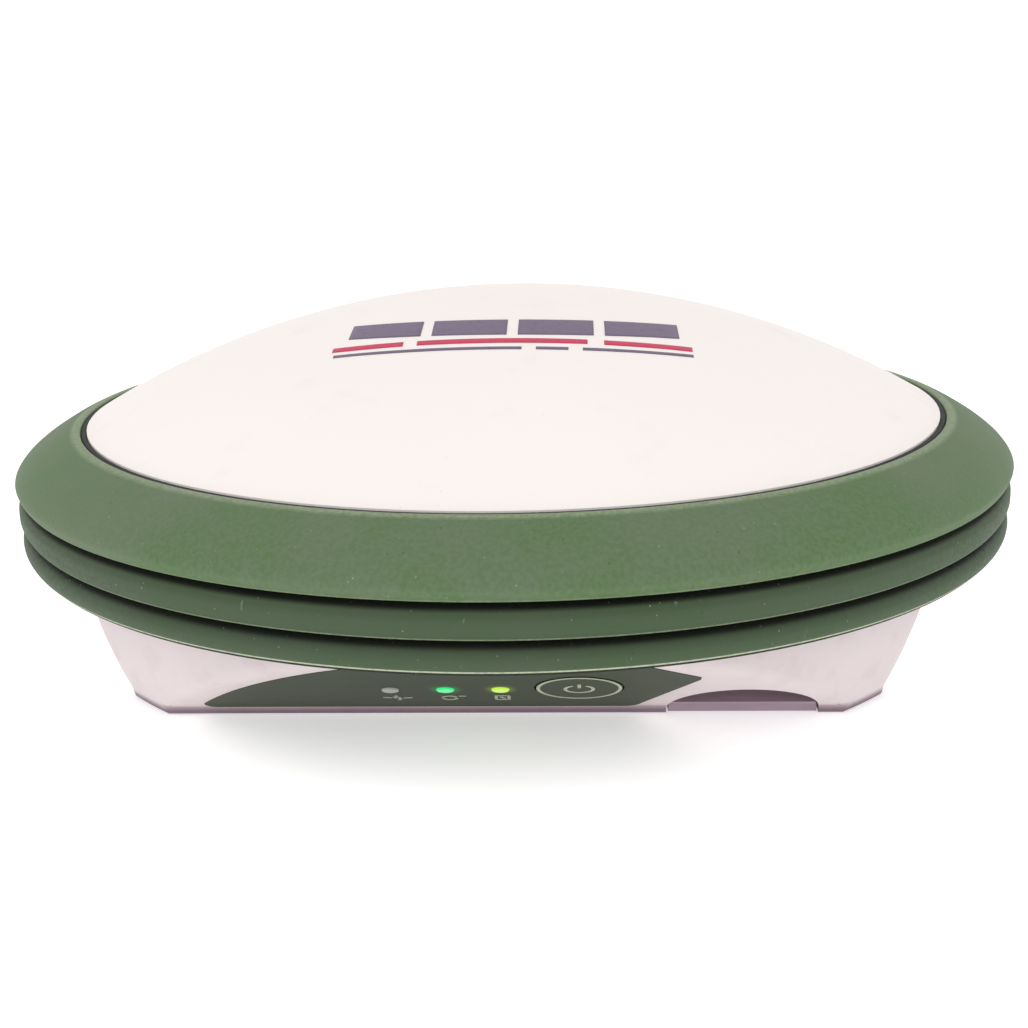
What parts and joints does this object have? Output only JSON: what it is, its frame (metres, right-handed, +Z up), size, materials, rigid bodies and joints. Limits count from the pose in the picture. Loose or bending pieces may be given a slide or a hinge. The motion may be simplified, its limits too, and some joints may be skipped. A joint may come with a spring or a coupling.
{
  "type": "gnss receiver",
  "caption": "Domed satellite survey receiver: white radome, ribbed green rubber bumper, squarish grey housing with slanted control panel, battery door and pole thread.",
  "frame": {"origin": "centre of the underside, on the pole thread's axis", "axes": "+Z up through the dome, -Y towards the control panel, +X to the right seen from the front"},
  "size_m": [0.186, 0.186, 0.0604],
  "materials": {
    "radome_white": "fine textured",
    "bumper_green": "matt moulded",
    "housing_grey": "fine textured",
    "panel_olive": "satin overlay",
    "button_olive": "satin",
    "lens_clear": "clear",
    "seal_black": "matt",
    "door_grey": "fine textured",
    "latch_dark": "satin",
    "steel": "machined",
    "battery_black": "satin",
    "brass": "machined",
    "board_green": "solder mask",
    "shield_tin": "tinned",
    "chip_black": "moulded",
    "led_white": "clear",
    "aluminium": "bead blasted",
    "substrate_cream": "laminate",
    "copper": "etched",
    "label_silver": "satin",
    "cap_black": "matt moulded"
  },
  "bodies": {
    "housing": {"radome": "radome_white", "bumper_ring": "bumper_green", "lower_housing": "housing_grey", "control_panel": "panel_olive", "indicator_lens_left": "lens_clear", "indicator_lens_middle": "lens_clear", "indicator_lens_right": "lens_clear", "dome_seal": "seal_black", "door_hinge_pin": "steel", "battery_contacts": "copper", "threaded_insert": "brass", "housing_screws": "steel", "label_plate": "label_silver", "main_board": "board_green", "indicator_board": "board_green", "rf_shield": "shield_tin", "processor_shield": "shield_tin", "wireless_shield": "shield_tin", "amplifier_shield": "shield_tin", "board_chips": "chip_black", "status_leds": "led_white", "tact_switch": "chip_black", "antenna_standoffs": "brass", "coax_link": "brass", "antenna_ground_plane": "aluminium", "antenna_screws": "steel", "lower_patch_substrate": "substrate_cream", "lower_patch_foil": "copper", "upper_patch_substrate": "substrate_cream", "upper_patch_foil": "copper", "feed_pins": "brass", "comm_connector": "steel", "vent_plug": "chip_black"},
    "door": {"battery_door": "door_grey", "door_seal": "seal_black", "battery_pack": "battery_black", "battery_terminals": "copper"},
    "button": {"power_button": "button_olive"},
    "latch": {"door_latch": "latch_dark"},
    "cap": {"port_cap": "cap_black"}
  },
  "joints": [
    {"name": "power_button_press", "type": "slide", "parent": "housing", "child": "button", "axis": [0, 0.5906, 0.807], "range_m": [0, 0.0006], "stiffness_N_per_m": 600},
    {"name": "battery_door_hinge", "type": "hinge", "parent": "housing", "child": "door", "pos_m": [0.0384, 0.0405, 0.0029], "axis": [1, 0, 0], "range_deg": [0, 90]},
    {"name": "door_latch_slide", "type": "slide", "parent": "door", "child": "latch", "axis": [1, 0, 0], "range_m": [0, 0.003]},
    {"name": "port_cap_pull", "type": "slide", "parent": "housing", "child": "cap", "axis": [0, 0.5906, -0.807], "range_m": [0, 0.005]}
  ]
}
